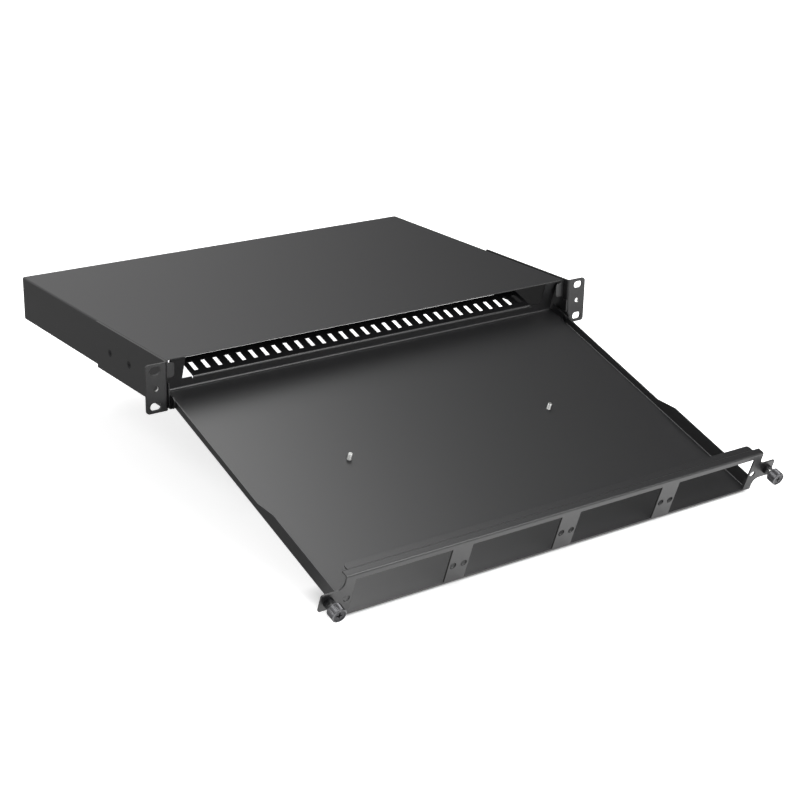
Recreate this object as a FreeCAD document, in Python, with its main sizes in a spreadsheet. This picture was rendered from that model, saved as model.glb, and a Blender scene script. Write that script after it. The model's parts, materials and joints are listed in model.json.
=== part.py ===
import FreeCAD, Part
import math
import os
from types import SimpleNamespace
import Sketcher

document = FreeCAD.newDocument("PatchDrawer")
sheet = document.addObject("Spreadsheet::Sheet", "Sizes")

# Driving dimensions: millimetres, and degrees for the tilt.
driving_dimensions = {
    # Rack face
    "rack_width": 482.6,
    "rack_hole_margin": 8.75,
    "rack_hole_rise": 31.75,
    "rack_slot_length": 10.3,
    "rack_slot_height": 6.9,
    "ear_reach": 21.3,
    "ear_overhang": 0.5,
    "ear_sheet": 2.0,
    "ear_bend_inside": 1.3,
    "ear_corner_radius": 3.0,
    "ear_plate_length": 130.0,
    "ear_screw_first": 68.0,
    "ear_screw_pitch": 36.0,
    "ear_screw_count": 2,
    "ear_screw_drop": 1.0,
    "ear_screw_shank": 3.9,
    "ear_screw_head": 6.8,
    "ear_screw_reach": 1.0,
    # Chassis
    "chassis_height": 42.6,
    "chassis_rear": 290.0,
    "chassis_sheet": 1.2,
    "chassis_bend_inside": 0.6,
    "cover_setback": 7.0,
    "cheek_setback": 0.4,
    "cheek_top": 2.0,
    "stop_tab_reach": 8.3,
    "stop_tab_height": 13.2,
    "stop_tab_corner": 2.5,
    "corner_web_width": 2.6,
    # Tray, in the drawer's own frame
    "drawer_sheet": 1.2,
    "drawer_bend_inside": 0.8,
    "drawer_length": 290.2,
    "tray_wall_low": 6.2,
    "tray_wall_high": 12.5,
    "tray_step_start": 162.0,
    "tray_step_run": 23.0,
    "weld_tab_width": 6.0,
    "weld_tab_margin": 1.5,
    "stud_spacing": 218.0,
    "stud_setback": 133.0,
    "stud_diameter": 4.0,
    "stud_height": 6.0,
    "stud_rib_diameter": 4.4,
    "stud_head": 6.8,
    "stud_head_depth": 0.7,
    # Front bezel
    "bezel_sheet": 1.5,
    "bezel_bend_inside": 0.5,
    "bezel_tab_height": 16.5,
    "bezel_tab_inset": 1.6,
    "bezel_tab_notch": 6.5,
    "bezel_tip_radius": 2.0,
    "bezel_top_rail": 5.4,
    "window_width": 90.6,
    "window_sill": 0.4,
    "latch_hole_margin": 4.6,
    "latch_hole_gap": 10.5,
    "latch_hole_rise": 16.4,
    "latch_hole_diameter": 6.0,
    "flange_depth": 14.8,
    "flange_end_step": 5.8,
    "flange_relief": 1.6,
    "flange_corner": 3.0,
    "flange_shoulder": 1.5,
    # Rear bulkhead and its lacing shelf
    "post_side_gap": 2.2,
    "post_width": 14.9,
    "post_corner_radius": 1.5,
    "foot_depth": 3.0,
    "foot_bend_inside": 1.5,
    "sill_top": 9.0,
    "sill_width": 11.5,
    "shelf_top": 9.5,
    "shelf_depth": 27.0,
    "shelf_relief_width": 1.5,
    "shelf_relief_depth": 2.4,
    "lacing_slot_pitch": 12.0,
    "lacing_slot_width": 4.6,
    "lacing_slot_length": 12.7,
    "lacing_slot_setback": 7.5,
    "lacing_slot_margin": 3.0,
    # Slide shoes and pivots
    "rest_tilt": 18.6,
    "pivot_setback": 22.3,
    "rivet_diameter": 3.0,
    "rivet_head": 4.8,
    "rivet_head_height": 1.0,
    "shoe_lead": 2.8,
    "shoe_length": 28.0,
    "shoe_height": 10.5,
    "shoe_ramp": 2.5,
    # Captive thumbscrews, in the drawer's own frame
    "screw_inset": 0.55,
    "screw_rise": 18.6,
    "shank_diameter": 4.5,
    "shank_tip_setback": 0.1,
    "ferrule_flange": 9.0,
    "ferrule_spigot": 6.4,
    "ferrule_height": 3.2,
    "washer_thickness": 1.0,
    "knob_diameter": 12.6,
    "knob_length": 9.4,
    "knob_standoff": 6.8,
    "knob_bevel": 0.5,
    "knob_rim": 1.2,
    "knob_dish_depth": 0.5,
    "knob_web": 0.9,
    "drive_length": 6.0,
    "drive_width": 1.2,
    "drive_depth": 1.6,
    # Clearances
    "tray_side_gap": 2.0,
    "slide_gap": 0.3,
    "side_gap": 0.2,
    "cover_gap": 0.4,
    "stop_gap": 1.0,
    "post_top_gap": 0.5,
    "running_gap": 0.05,
    "seat_gap": 0.02,
    "rivet_gap": 0.1,
    "washer_gap": 0.1,
    "knob_recess_gap": 0.6,
}

for row, (alias, value) in enumerate(driving_dimensions.items(), start=1):
    sheet.set(f"A{row}", alias)
    sheet.set(f"B{row}", str(value))
    sheet.setAlias(f"B{row}", alias)
document.recompute()


class Length:
    """A length and the formula on the sheet's cells that gives it."""

    def __init__(self, value, formula):
        self.value = value
        self.formula = formula

    def __add__(self, other):
        other = as_length(other)
        return Length(self.value + other.value, f"({self.formula} + {other.formula})")

    def __sub__(self, other):
        other = as_length(other)
        return Length(self.value - other.value, f"({self.formula} - {other.formula})")

    def __mul__(self, other):
        other = as_length(other)
        return Length(self.value * other.value, f"({self.formula} * {other.formula})")

    def __truediv__(self, other):
        other = as_length(other)
        return Length(self.value / other.value, f"({self.formula} / {other.formula})")

    def __neg__(self):
        return Length(-self.value, f"(-1 * {self.formula})")

    __radd__ = __add__
    __rmul__ = __mul__


def as_length(number):
    """A plain number as a length; a length as it is."""
    if isinstance(number, Length):
        return number
    return Length(float(number), str(number))


size = SimpleNamespace(**{
    alias: Length(float(sheet.get(alias)), f"Sizes.{alias}") for alias in driving_dimensions
})

def rounded_down(length):
    """The largest whole number in a length."""
    return Length(math.floor(length.value), f"floor({length.formula})")


tilt = math.radians(size.rest_tilt.value)
tilt_cosine = Length(math.cos(tilt), f"cos({size.rest_tilt.formula} * 1 deg)")
tilt_sine = Length(math.sin(tilt), f"sin({size.rest_tilt.formula} * 1 deg)")

# Places on the rack face and the chassis that several pieces share.
rack_half = size.rack_width / 2
rack_slot_half = rack_half - size.rack_hole_margin
screw_half = rack_slot_half - size.screw_inset
chassis_half = rack_half - size.ear_reach
chassis_inner = chassis_half - size.chassis_sheet
chassis_top = size.chassis_height / 2
chassis_ceiling = chassis_top - size.chassis_sheet
hem_top = size.chassis_sheet - chassis_top
ear_outer = chassis_half + size.ear_sheet
ear_screw_hole = size.ear_screw_shank + size.running_gap * 2

# Places on the drawer that several pieces share.
tray_half = chassis_inner - size.tray_side_gap
tray_inner = tray_half - size.drawer_sheet
post_outer = tray_inner - size.post_side_gap
bezel_half = chassis_half - size.side_gap
bezel_top = chassis_top + size.screw_rise
bezel_back = size.drawer_length - size.bezel_sheet
flange_joggle = size.chassis_sheet + size.cover_gap
stop_tab_top = chassis_top - flange_joggle - size.bezel_sheet - size.cover_gap
shank_radius = size.shank_diameter / 2
shank_bore_radius = shank_radius + size.running_gap
knob_recess_radius = size.ferrule_flange / 2 + size.knob_recess_gap
knob_back = size.drawer_length + size.knob_standoff
knob_front = knob_back + size.knob_length
knob_dish_floor = knob_front - size.knob_dish_depth
knob_seat_floor = knob_dish_floor - size.drive_depth - size.knob_web
knob_recess_floor = knob_back + size.ferrule_height + size.washer_thickness + size.slide_gap + size.washer_gap

# The rivet's head clears the tray's bend. The drawer rests tilted, with its posts just behind the
# stop tabs, and stands level at the height that brings its thumbscrews to the ears' round holes.
pivot_rise = size.drawer_bend_inside + size.rivet_head / 2 + size.rivet_gap
pivot_z = pivot_rise - size.screw_rise
rest_z = pivot_z + size.pivot_setback * tilt_sine - pivot_rise * tilt_cosine
stop_rear = size.cover_setback + size.chassis_sheet + size.stop_gap
rest_y = stop_rear + (stop_tab_top - rest_z) * tilt_sine / tilt_cosine
pivot_y = rest_y - size.pivot_setback * tilt_cosine - pivot_rise * tilt_sine
post_top = (chassis_ceiling - size.post_top_gap - rest_z - size.drawer_sheet * tilt_sine) / tilt_cosine

# The slide shoes fill the gap between the tray and the chassis wall, above the hem.
shoe_inner = tray_half + size.slide_gap
shoe_outer = chassis_inner - size.slide_gap
shoe_bottom = hem_top + size.slide_gap
shoe_front = pivot_y - size.shoe_lead
shoe_rear = shoe_front + size.shoe_length

subparts = []


def new_body(label):
    """An empty body that becomes one node of the assembly."""
    body = document.addObject("PartDesign::Body", label)
    body.Label = label
    subparts.append(body)
    return body


def place(body, x=0, y=0, z=0):
    """Stand a body at a point of the chassis frame."""
    for axis, length in zip("xyz", (x, y, z)):
        body.setExpression(f"Placement.Base.{axis}", f"{as_length(length).formula} * 1 mm")


def place_on_drawer(body, x=0, y=0, z=0):
    """Stand a body at a point of the drawer's own frame, tilted with the drawer."""
    along = as_length(y)
    above = as_length(z)
    body.Placement.Rotation = FreeCAD.Rotation(FreeCAD.Vector(1, 0, 0), size.rest_tilt.value)
    body.setExpression("Placement.Rotation.Angle", f"{size.rest_tilt.formula} * 1 deg")
    place(
        body,
        x,
        rest_y + along * tilt_cosine - above * tilt_sine,
        rest_z + along * tilt_sine + above * tilt_cosine,
    )


def origin_feature(body, role):
    """One of the body's own origin planes or axes."""
    for feature in body.Origin.OriginFeatures:
        if feature.Role == role:
            return feature


def new_sketch(body, name, plane, offset=0):
    """A sketch on one of the body's planes, moved along the plane's normal."""
    sketch = body.newObject("Sketcher::SketchObject", name)
    sketch.AttachmentSupport = [(origin_feature(body, plane), "")]
    sketch.MapMode = "FlatFace"
    sketch.setExpression("AttachmentOffset.Base.z", f"{as_length(offset).formula} * 1 mm")
    return sketch


def fix_point(sketch, geometry, position, point):
    """Tie one point of a sketch to its two formulas."""
    for kind, length in zip(("DistanceX", "DistanceY"), point):
        length = as_length(length)
        index = sketch.addConstraint(
            Sketcher.Constraint(kind, -1, 1, geometry, position, length.value)
        )
        sketch.setExpression(f"Constraints[{index}]", length.formula)


def outline(sketch, points):
    """A closed outline of straight edges through the points."""
    points = [tuple(as_length(coordinate) for coordinate in point) for point in points]
    vectors = [FreeCAD.Vector(across.value, up.value, 0) for across, up in points]
    first = sketch.GeometryCount
    for start, end in zip(vectors, vectors[1:] + vectors[:1]):
        sketch.addGeometry(Part.LineSegment(start, end), False)
    for edge, point in enumerate(points):
        following = first + (edge + 1) % len(points)
        sketch.addConstraint(Sketcher.Constraint("Coincident", first + edge, 2, following, 1))
        fix_point(sketch, first + edge, 1, point)


def rectangle(sketch, left, bottom, right, top):
    """An upright rectangle between two corners."""
    outline(sketch, [(left, bottom), (right, bottom), (right, top), (left, top)])


def circle(sketch, across, up, diameter):
    """A round hole or disc."""
    across = as_length(across)
    up = as_length(up)
    radius = diameter / 2
    centre = FreeCAD.Vector(across.value, up.value, 0)
    ring = sketch.addGeometry(Part.Circle(centre, FreeCAD.Vector(0, 0, 1), radius.value), False)
    index = sketch.addConstraint(Sketcher.Constraint("Radius", ring, radius.value))
    sketch.setExpression(f"Constraints[{index}]", radius.formula)
    fix_point(sketch, ring, 3, (across, up))


def level_slot(sketch, across, up, length, height):
    """A slot with round ends, longer across than high."""
    up = as_length(up)
    radius = height / 2
    reach = length / 2 - radius
    ends = []
    for direction in (-1, 1):
        centre = across + reach * direction
        middle = FreeCAD.Vector(centre.value, up.value, 0)
        full = Part.Circle(middle, FreeCAD.Vector(0, 0, 1), radius.value)
        start = -math.pi / 2 * direction
        arc = sketch.addGeometry(Part.ArcOfCircle(full, start, start + math.pi), False)
        ends.append((arc, centre, middle))
    (left, left_centre, left_middle), (right, right_centre, right_middle) = ends
    rise = FreeCAD.Vector(0, radius.value, 0)
    top = sketch.addGeometry(Part.LineSegment(right_middle + rise, left_middle + rise), False)
    bottom = sketch.addGeometry(Part.LineSegment(left_middle - rise, right_middle - rise), False)
    sketch.addConstraint(Sketcher.Constraint("Tangent", right, 2, top, 1))
    sketch.addConstraint(Sketcher.Constraint("Tangent", top, 2, left, 1))
    sketch.addConstraint(Sketcher.Constraint("Tangent", left, 2, bottom, 1))
    sketch.addConstraint(Sketcher.Constraint("Tangent", bottom, 2, right, 1))
    fix_point(sketch, left, 3, (left_centre, up))
    fix_point(sketch, right, 3, (right_centre, up))
    index = sketch.addConstraint(Sketcher.Constraint("Radius", left, radius.value))
    sketch.setExpression(f"Constraints[{index}]", radius.formula)


def pad(body, name, sketch, length, backwards=False, symmetric=False):
    """Raise a sketch into a solid along its normal, against it, or both ways."""
    feature = body.newObject("PartDesign::Pad", name)
    feature.Profile = sketch
    feature.setExpression("Length", as_length(length).formula)
    feature.Reversed = backwards
    feature.SideType = "Symmetric" if symmetric else "One side"
    document.recompute()
    return feature


def cut_through(body, name, sketch):
    """Cut a sketch through the whole body, both ways."""
    before = body.Tip.Shape.Volume
    feature = body.newObject("PartDesign::Pocket", name)
    feature.Profile = sketch
    feature.Type = "ThroughAll"
    feature.SideType = "Symmetric"
    document.recompute()
    check_removed(feature, before)
    return feature


def cut_depth(body, name, sketch, depth, backwards=False):
    """Cut a sketch to a depth against its normal, or along it."""
    before = body.Tip.Shape.Volume
    feature = body.newObject("PartDesign::Pocket", name)
    feature.Profile = sketch
    feature.setExpression("Length", as_length(depth).formula)
    feature.Reversed = backwards
    document.recompute()
    check_removed(feature, before)
    return feature


def check_removed(feature, before):
    """A cut that points away from the solid takes nothing, so it is refused."""
    if feature.Shape.isNull() or feature.Shape.Volume >= before:
        raise RuntimeError(f"{feature.Label} removes nothing")


def repeat(body, name, feature, axis, length, count):
    """Repeat a feature in a row along one axis."""
    pattern = body.newObject("PartDesign::LinearPattern", name)
    pattern.Originals = [feature]
    pattern.Direction = (origin_feature(body, axis), [""])
    pattern.setExpression("Length", length.formula)
    pattern.setExpression("Occurrences", count.formula)
    body.Tip = pattern
    document.recompute()
    return pattern


def revolve(body, name, sketch, axis):
    """Turn a half profile a full circle about one axis of its sketch."""
    feature = body.newObject("PartDesign::Revolution", name)
    feature.Profile = sketch
    feature.ReferenceAxis = (sketch, [axis])
    feature.Angle = 360
    document.recompute()
    return feature


def edges_along(body, axis, places):
    """Names of the straight edges along an axis that pass through the given places."""
    names = []
    others = [index for index in range(3) if index != "xyz".index(axis)]
    for number, edge in enumerate(body.Tip.Shape.Edges, start=1):
        if edge.Curve.TypeId != "Part::GeomLine":
            continue
        start, end = (vertex.Point for vertex in edge.Vertexes)
        if any(abs(start[index] - end[index]) > 1e-6 for index in others):
            continue
        for place_on_section in places:
            wanted = [as_length(length).value for length in place_on_section]
            if all(abs(start[index] - goal) < 1e-4 for index, goal in zip(others, wanted)):
                names.append(f"Edge{number}")
    return names


def round_edges(body, name, axis, places, radius):
    """Round the straight edges along an axis that pass through the given places."""
    base = (body.Tip, edges_along(body, axis, places))
    feature = body.newObject("PartDesign::Fillet", name)
    feature.Base = base
    feature.setExpression("Radius", as_length(radius).formula)
    document.recompute()
    return feature


def bevel_circles(body, name, axis, level, diameter, leg):
    """Chamfer the circular edges of one diameter that lie at one level along an axis."""
    names = []
    for number, edge in enumerate(body.Tip.Shape.Edges, start=1):
        if edge.Curve.TypeId != "Part::GeomCircle":
            continue
        at_level = abs(edge.Curve.Center["xyz".index(axis)] - level.value) < 1e-4
        if at_level and abs(edge.Curve.Radius * 2 - diameter.value) < 1e-4:
            names.append(f"Edge{number}")
    base = (body.Tip, names)
    feature = body.newObject("PartDesign::Chamfer", name)
    feature.Base = base
    feature.setExpression("Size", as_length(leg).formula)
    document.recompute()
    return feature


def both_signs(*lengths):
    """The places at plus and minus the first length, with the rest unchanged."""
    first, *rest = lengths
    return [(first, *rest), (-first, *rest)]


def bore_ear_screw_holes(body):
    """The row of ear-screw holes, through a chassis wall or an ear's side plate."""
    hole = new_sketch(body, "ear_screw_hole", "YZ_Plane")
    circle(hole, size.ear_screw_first, -size.ear_screw_drop, ear_screw_hole)
    first_hole = cut_through(body, "ear_screw_bore", hole)
    row_length = size.ear_screw_pitch * (size.ear_screw_count - 1)
    repeat(body, "ear_screw_bores", first_hole, "Y_Axis", row_length, size.ear_screw_count)


def build_chassis_shell():
    """Cover and side walls folded from one sheet, open in front, behind and below."""
    body = new_body("chassis_shell")
    hem_inner = tray_half + size.side_gap
    right = [
        (hem_inner, hem_top),
        (hem_inner, -chassis_top),
        (chassis_half, -chassis_top),
        (chassis_half, chassis_top),
    ]
    inside = [
        (-chassis_inner, hem_top),
        (-chassis_inner, chassis_ceiling),
        (chassis_inner, chassis_ceiling),
        (chassis_inner, hem_top),
    ]
    left = [(-across, up) for across, up in reversed(right)]
    section = new_sketch(body, "shell_section", "XZ_Plane", -size.cheek_setback)
    outline(section, right + left + inside)
    pad(body, "shell", section, size.chassis_rear - size.cheek_setback, backwards=True)

    # The cover and the upper half of each side wall stand behind the rack face.
    mouth = new_sketch(body, "mouth_profile", "YZ_Plane")
    rectangle(mouth, 0, size.cheek_top, size.cover_setback, chassis_top + size.chassis_sheet)
    cut_through(body, "mouth", mouth)

    # A narrow web joins each stop tab to the cover and closes the mouth's upper corner.
    tabs = new_sketch(body, "stop_tab_profile", "XZ_Plane", -size.cover_setback)
    tab_tip = chassis_inner - size.stop_tab_reach
    tab_root = chassis_inner + size.chassis_sheet / 2
    tab_bottom = stop_tab_top - size.stop_tab_height
    web_edge = chassis_inner - size.corner_web_width
    web_top = chassis_ceiling + size.chassis_sheet / 2
    right_tab = [
        (tab_tip, tab_bottom),
        (tab_root, tab_bottom),
        (tab_root, web_top),
        (web_edge, web_top),
        (web_edge, stop_tab_top),
        (tab_tip, stop_tab_top),
    ]
    outline(tabs, right_tab)
    outline(tabs, [(-across, up) for across, up in reversed(right_tab)])
    pad(body, "stop_tabs", tabs, size.chassis_sheet, backwards=True)

    bore_ear_screw_holes(body)

    outer_bends = both_signs(chassis_half, chassis_top) + both_signs(chassis_half, -chassis_top)
    inner_bends = both_signs(chassis_inner, chassis_ceiling) + both_signs(chassis_inner, hem_top)
    tab_corners = both_signs(tab_tip, tab_bottom) + both_signs(tab_tip, stop_tab_top)
    round_edges(body, "outer_bends", "y", outer_bends, size.chassis_bend_inside + size.chassis_sheet)
    round_edges(body, "inner_bends", "y", inner_bends, size.chassis_bend_inside)
    round_edges(body, "stop_tab_corners", "y", tab_corners, size.stop_tab_corner)


def build_rack_ear(name, side):
    """L-bracket: a slotted flange at the rack face, folded back along the chassis wall."""
    body = new_body(f"{name}_rack_ear")
    half_height = chassis_top + size.ear_overhang
    section = new_sketch(body, "ear_section", "XY_Plane")
    outline(section, [
        (chassis_half * side, 0),
        (rack_half * side, 0),
        (rack_half * side, size.ear_sheet),
        (ear_outer * side, size.ear_sheet),
        (ear_outer * side, size.ear_plate_length),
        (chassis_half * side, size.ear_plate_length),
    ])
    pad(body, "ear", section, half_height * 2, symmetric=True)

    slots = new_sketch(body, "rack_slot_profile", "XZ_Plane")
    for direction in (-1, 1):
        level_slot(
            slots,
            rack_slot_half * side,
            size.rack_hole_rise / 2 * direction,
            size.rack_slot_length,
            size.rack_slot_height,
        )
    circle(slots, screw_half * side, 0, shank_bore_radius * 2)
    cut_through(body, "rack_slots", slots)

    bore_ear_screw_holes(body)
    countersink = (size.ear_screw_head - size.ear_screw_shank) / 2
    bevel_circles(body, "countersinks", "x", ear_outer * side, ear_screw_hole, countersink)

    round_edges(body, "bend_inside", "z", [(ear_outer * side, size.ear_sheet)], size.ear_bend_inside)
    round_edges(
        body, "bend_outside", "z", [(chassis_half * side, 0)], size.ear_bend_inside + size.ear_sheet
    )
    tips = [(rack_half * side, half_height), (rack_half * side, -half_height)]
    round_edges(body, "ear_corners", "y", tips, size.ear_corner_radius)


def build_ear_screws(name, side):
    """The row of countersunk screws that hold an ear on the chassis wall."""
    body = new_body(f"{name}_ear_screws")
    body.AllowCompound = True
    shank = size.ear_screw_shank / 2
    head = size.ear_screw_head / 2
    inner_end = chassis_inner - size.ear_screw_reach
    neck = ear_outer - (head - shank)
    section = new_sketch(body, "screw_section", "XY_Plane")
    outline(section, [
        (inner_end * side, 0),
        (ear_outer * side, 0),
        (ear_outer * side, head),
        (neck * side, shank),
        (inner_end * side, shank),
    ])
    screw = revolve(body, "screw", section, "H_Axis")
    row_length = size.ear_screw_pitch * (size.ear_screw_count - 1)
    repeat(body, "screw_row", screw, "Y_Axis", row_length, size.ear_screw_count)
    place(body, 0, size.ear_screw_first, -size.ear_screw_drop)


def build_drawer_tray():
    """Floor and two side walls folded from one sheet, with the walls stepped up in front."""
    body = new_body("drawer_tray")
    section = new_sketch(body, "tray_section", "XZ_Plane", bezel_back)
    outline(section, [
        (-tray_half, -size.drawer_sheet),
        (tray_half, -size.drawer_sheet),
        (tray_half, size.tray_wall_high),
        (tray_inner, size.tray_wall_high),
        (tray_inner, 0),
        (-tray_inner, 0),
        (-tray_inner, size.tray_wall_high),
        (-tray_half, size.tray_wall_high),
    ])
    pad(body, "tray", section, bezel_back, backwards=True)

    step = new_sketch(body, "wall_step_profile", "YZ_Plane")
    above_wall = size.tray_wall_high + size.drawer_sheet
    step_end = size.tray_step_start + size.tray_step_run
    outline(step, [
        (size.drawer_sheet, size.tray_wall_low),
        (size.drawer_sheet, above_wall),
        (-step_end, above_wall),
        (-step_end, size.tray_wall_high),
        (-size.tray_step_start, size.tray_wall_low),
    ])
    cut_through(body, "wall_step", step)

    foot_room = new_sketch(body, "foot_room_outline", "XY_Plane")
    rectangle(foot_room, -post_outer, -size.foot_depth, post_outer, size.drawer_sheet)
    cut_through(body, "foot_room", foot_room)

    tabs = new_sketch(body, "weld_tab_profile", "XZ_Plane", bezel_back)
    tab_tip = tray_half - size.weld_tab_width
    tab_root = tray_half - size.drawer_sheet / 2
    tab_top = size.tray_wall_high - size.weld_tab_margin
    rectangle(tabs, tab_tip, size.weld_tab_margin, tab_root, tab_top)
    rectangle(tabs, -tab_root, size.weld_tab_margin, -tab_tip, tab_top)
    pad(body, "weld_tabs", tabs, size.drawer_sheet, backwards=True)

    pivots = new_sketch(body, "pivot_hole_profile", "YZ_Plane")
    pivot_bore = size.rivet_diameter + size.running_gap * 2
    circle(pivots, -size.pivot_setback, pivot_rise, pivot_bore)
    cut_through(body, "pivot_holes", pivots)

    studs = new_sketch(body, "stud_hole_profile", "XY_Plane")
    heads = new_sketch(body, "stud_head_profile", "XY_Plane", -size.drawer_sheet)
    for across in (size.stud_spacing / 2, -size.stud_spacing / 2):
        circle(studs, across, -size.stud_setback, size.stud_rib_diameter + size.seat_gap * 2)
        circle(heads, across, -size.stud_setback, size.stud_head + size.seat_gap * 2)
    cut_through(body, "stud_holes", studs)
    cut_depth(body, "stud_head_seats", heads, size.stud_head_depth, backwards=True)

    outer_bends = both_signs(tray_half, -size.drawer_sheet)
    outer_radius = size.drawer_bend_inside + size.drawer_sheet
    round_edges(body, "outer_bends", "y", outer_bends, outer_radius)
    round_edges(body, "inner_bends", "y", both_signs(tray_inner, 0), size.drawer_bend_inside)
    place_on_drawer(body)


def build_front_bezel():
    """Bezel sheet with four cassette windows, a tab at each end and a joggled top flange."""
    body = new_body("front_bezel")
    tab_low = size.screw_rise - size.bezel_tab_height / 2
    tab_high = size.screw_rise + size.bezel_tab_height / 2
    tab_tip = rack_half - size.bezel_tab_inset
    right = [
        (bezel_half, -size.drawer_sheet),
        (bezel_half, tab_low),
        (tab_tip, tab_low),
        (tab_tip, tab_high),
        (bezel_half, tab_high),
        (bezel_half, bezel_top),
    ]
    left = [(-across, up) for across, up in reversed(right)]
    face = new_sketch(body, "bezel_outline", "XZ_Plane", size.drawer_length)
    outline(face, right + left)
    pad(body, "bezel", face, size.bezel_sheet, backwards=True)
    notches = both_signs(bezel_half, tab_low) + both_signs(bezel_half, tab_high)
    round_edges(body, "tab_notches", "y", notches, size.bezel_tab_notch)
    tips = both_signs(tab_tip, tab_low) + both_signs(tab_tip, tab_high)
    round_edges(body, "tab_tips", "y", tips, size.bezel_tip_radius)

    # The flange runs level up to the cover's edge, then steps down at 45 degrees to pass under it.
    front = -size.drawer_length
    step_end = front + size.bezel_sheet + size.cover_setback
    step_start = step_end - flange_joggle
    lower = bezel_top - flange_joggle
    inset = size.bezel_sheet * (math.sqrt(2) - 1)
    rear = front + size.flange_depth
    flange = new_sketch(body, "flange_section", "YZ_Plane")
    outline(flange, [
        (front, bezel_top - size.bezel_sheet),
        (front, bezel_top),
        (step_start, bezel_top),
        (step_end, lower),
        (rear, lower),
        (rear, lower - size.bezel_sheet),
        (step_end - inset, lower - size.bezel_sheet),
        (step_start - inset, bezel_top - size.bezel_sheet),
    ])
    pad(body, "top_flange", flange, bezel_half * 2, symmetric=True)

    # The stepped part is narrower, with a small relief at each inner corner.
    ends = new_sketch(body, "flange_end_profile", "XY_Plane")
    rear_half = bezel_half - size.flange_end_step
    relief_edge = rear_half + size.flange_relief
    relief_front = step_end - size.flange_relief
    shoulder = step_end - size.cover_gap
    right_end = [
        (rear_half, rear + size.bezel_sheet),
        (rear_half, relief_front),
        (relief_edge, relief_front),
        (relief_edge, shoulder),
        (bezel_half + size.bezel_sheet, shoulder),
        (bezel_half + size.bezel_sheet, rear + size.bezel_sheet),
    ]
    outline(ends, right_end)
    outline(ends, [(-across, along) for across, along in reversed(right_end)])
    cut_through(body, "flange_ends", ends)
    round_edges(body, "flange_corners", "z", both_signs(rear_half, rear), size.flange_corner)
    round_edges(body, "flange_shoulders", "z", both_signs(bezel_half, shoulder), size.flange_shoulder)

    outer_radius = size.bezel_bend_inside + size.bezel_sheet
    round_edges(body, "bend_outside", "x", [(front, bezel_top)], outer_radius)
    inner_corner = (size.bezel_sheet - size.drawer_length, bezel_top - size.bezel_sheet)
    round_edges(body, "bend_inside", "x", [inner_corner], size.bezel_bend_inside)

    screws = new_sketch(body, "screw_hole_profile", "XZ_Plane")
    for across in (screw_half, -screw_half):
        circle(screws, across, size.screw_rise, size.ferrule_spigot + size.seat_gap * 2)
    cut_through(body, "screw_holes", screws)

    # As many windows as the bezel has room for, each with a latch hole on either side.
    window = new_sketch(body, "window_profile", "XZ_Plane")
    latch_hole_spacing = size.window_width + size.latch_hole_margin * 2
    window_pitch = latch_hole_spacing + size.latch_hole_gap
    room = bezel_half * 2 - latch_hole_spacing - size.latch_hole_diameter
    window_count = rounded_down(room / window_pitch) + 1
    row_length = window_pitch * (window_count - 1)
    first_centre = -row_length / 2
    half_window = size.window_width / 2
    rectangle(
        window,
        first_centre - half_window,
        size.window_sill,
        first_centre + half_window,
        bezel_top - size.bezel_top_rail,
    )
    for direction in (-1, 1):
        latch_centre = first_centre + latch_hole_spacing / 2 * direction
        circle(window, latch_centre, size.latch_hole_rise, size.latch_hole_diameter)
    first_window = cut_through(body, "window", window)
    repeat(body, "window_row", first_window, "X_Axis", row_length, window_count)
    place_on_drawer(body)


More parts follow.
